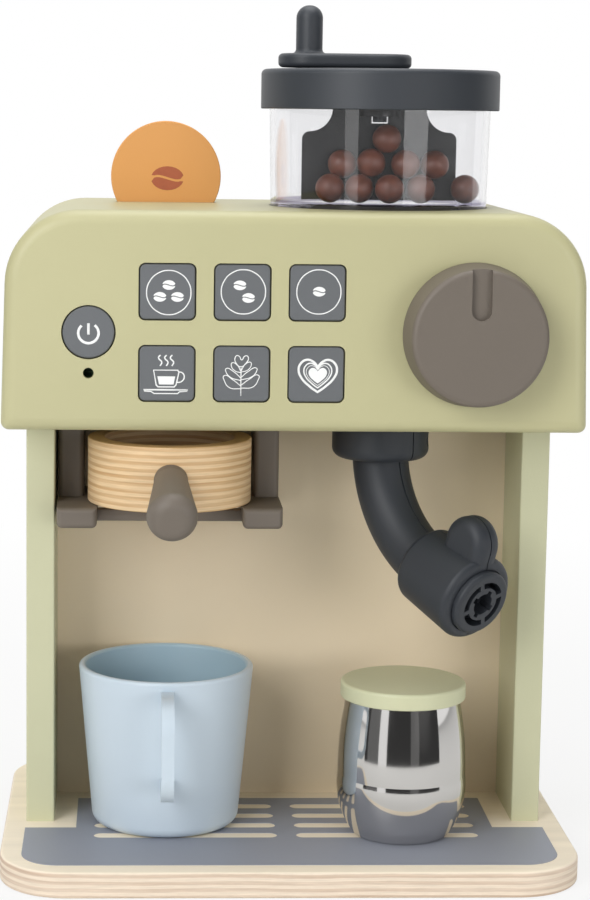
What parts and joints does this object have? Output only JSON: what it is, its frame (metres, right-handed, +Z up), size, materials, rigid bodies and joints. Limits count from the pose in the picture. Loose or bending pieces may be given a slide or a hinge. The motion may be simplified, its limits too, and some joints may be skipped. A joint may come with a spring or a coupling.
{
  "type": "toy coffee maker",
  "caption": "Children's pretend coffee machine with a wooden base and sides, moulded head with keys and dial, bean hopper with crank, portafilter, steam wand, mug, milk jug and coin.",
  "frame": {"origin": "middle of the base board's underside, on the table", "axes": "+X to the right seen from the front, +Y to the back, +Z up; the front faces -Y"},
  "size_m": [0.22, 0.155, 0.3297],
  "materials": {
    "plywood": "bare sanded birch plywood",
    "grey_print": "printed matt film",
    "sage_paint": "painted board, satin",
    "beige_board": "painted board, matt",
    "sage_moulding": "fine satin moulding",
    "steel_screws": "zinc plated",
    "grey_key": "satin key with white print",
    "clear_rubber": "soft silicone",
    "circuit_board": "lacquered board",
    "black_plastic": "matt",
    "cell_wrap": "wrapped cell",
    "taupe_moulding": "satin moulding",
    "coin_paint": "painted with a printed bean",
    "slate_moulding": "satin moulding",
    "bean_plastic": "satin brown",
    "blue_mug": "satin pale blue",
    "polished_steel": "polished",
    "clear_plastic": "clear moulding"
  },
  "bodies": {
    "coffee_maker": {"back_wall": "beige_board", "base_board": "plywood", "base_screws": "steel_screws", "battery_cells": "cell_wrap", "battery_door": "sage_moulding", "board_screws": "steel_screws", "bracket_screws": "steel_screws", "cover_screws": "steel_screws", "dome_cup": "clear_rubber", "dome_heart": "clear_rubber", "dome_leaf": "clear_rubber", "dome_one_bean": "clear_rubber", "dome_power": "clear_rubber", "dome_three_beans": "clear_rubber", "dome_two_beans": "clear_rubber", "drip_tray_print": "grey_print", "head_shell": "sage_moulding", "hopper_cup": "clear_plastic", "hopper_lid": "slate_moulding", "hopper_screws": "steel_screws", "panel_top_screws": "steel_screws", "portafilter_bracket": "taupe_moulding", "rear_cover": "sage_moulding", "side_panel_left": "sage_paint", "side_panel_right": "sage_paint", "speaker": "black_plastic", "switch_board": "circuit_board"},
    "power_key": {"power_button": "grey_key"},
    "dial": {"dial_knob": "taupe_moulding", "dial_clip": "steel_screws"},
    "coin": {"coffee_coin": "coin_paint"},
    "grinder": {"grinder_crank": "slate_moulding", "grinder_paddle": "slate_moulding", "crank_screw": "steel_screws", "coffee_beans": "bean_plastic"},
    "portafilter": {"portafilter_disc": "plywood", "portafilter_handle": "taupe_moulding"},
    "steam_wand": {"wand_shell_left": "slate_moulding", "wand_shell_right": "slate_moulding", "wand_nozzle": "slate_moulding", "wand_washer": "steel_screws", "wand_screws": "steel_screws", "washer_screws": "steel_screws"},
    "toy_mug": {"mug": "blue_mug"},
    "milk_jug": {"jug_body": "polished_steel"},
    "milk_jug_lid": {"jug_lid": "sage_paint"},
    "key_three_beans": {"button_three_beans": "grey_key"},
    "key_two_beans": {"button_two_beans": "grey_key"},
    "key_one_bean": {"button_one_bean": "grey_key"},
    "key_cup": {"button_cup": "grey_key"},
    "key_leaf": {"button_leaf": "grey_key"},
    "key_heart": {"button_heart": "grey_key"}
  },
  "joints": [
    {"name": "press_three_beans", "type": "slide", "parent": "coffee_maker", "child": "key_three_beans", "axis": [0, 1, 0], "range_m": [0, 0.0016], "stiffness_N_per_m": 400, "springref_m": -0.0005, "deforming": ["dome_three_beans"]},
    {"name": "press_two_beans", "type": "slide", "parent": "coffee_maker", "child": "key_two_beans", "axis": [0, 1, 0], "range_m": [0, 0.0016], "stiffness_N_per_m": 400, "springref_m": -0.0005, "deforming": ["dome_two_beans"]},
    {"name": "press_one_bean", "type": "slide", "parent": "coffee_maker", "child": "key_one_bean", "axis": [0, 1, 0], "range_m": [0, 0.0016], "stiffness_N_per_m": 400, "springref_m": -0.0005, "deforming": ["dome_one_bean"]},
    {"name": "press_cup", "type": "slide", "parent": "coffee_maker", "child": "key_cup", "axis": [0, 1, 0], "range_m": [0, 0.0016], "stiffness_N_per_m": 400, "springref_m": -0.0005, "deforming": ["dome_cup"]},
    {"name": "press_leaf", "type": "slide", "parent": "coffee_maker", "child": "key_leaf", "axis": [0, 1, 0], "range_m": [0, 0.0016], "stiffness_N_per_m": 400, "springref_m": -0.0005, "deforming": ["dome_leaf"]},
    {"name": "press_heart", "type": "slide", "parent": "coffee_maker", "child": "key_heart", "axis": [0, 1, 0], "range_m": [0, 0.0016], "stiffness_N_per_m": 400, "springref_m": -0.0005, "deforming": ["dome_heart"]},
    {"name": "press_power", "type": "slide", "parent": "coffee_maker", "child": "power_key", "axis": [0, 1, 0], "range_m": [0, 0.0016], "stiffness_N_per_m": 400, "springref_m": -0.0005, "deforming": ["dome_power"]},
    {"name": "turn_dial", "type": "hinge", "parent": "coffee_maker", "child": "dial", "pos_m": [0.0663, -0.0466, 0.207], "axis": [0, -1, 0], "continuous": true},
    {"name": "turn_crank", "type": "hinge", "parent": "coffee_maker", "child": "grinder", "pos_m": [0.0356, 0.0139, 0.3], "axis": [0, 0, 1], "continuous": true},
    {"name": "swing_wand", "type": "hinge", "parent": "coffee_maker", "child": "steam_wand", "pos_m": [0.0364, -0.0055, 0.1694], "axis": [0, 0, 1], "range_deg": [-75, 10]},
    {"name": "draw_portafilter", "type": "slide", "parent": "coffee_maker", "child": "portafilter", "axis": [0, -1, 0], "range_m": [0, 0.09]},
    {"name": "lift_coin", "type": "slide", "parent": "coffee_maker", "child": "coin", "axis": [0, 0, 1], "range_m": [0, 0.04]},
    {"name": "take_mug", "type": "slide", "parent": "coffee_maker", "child": "toy_mug", "axis": [0, -1, 0], "range_m": [0, 0.1]},
    {"name": "take_jug", "type": "slide", "parent": "coffee_maker", "child": "milk_jug", "axis": [0, -1, 0], "range_m": [0, 0.09]},
    {"name": "lift_jug_lid", "type": "slide", "parent": "milk_jug", "child": "milk_jug_lid", "axis": [0, 0, 1], "range_m": [0, 0.018]}
  ]
}
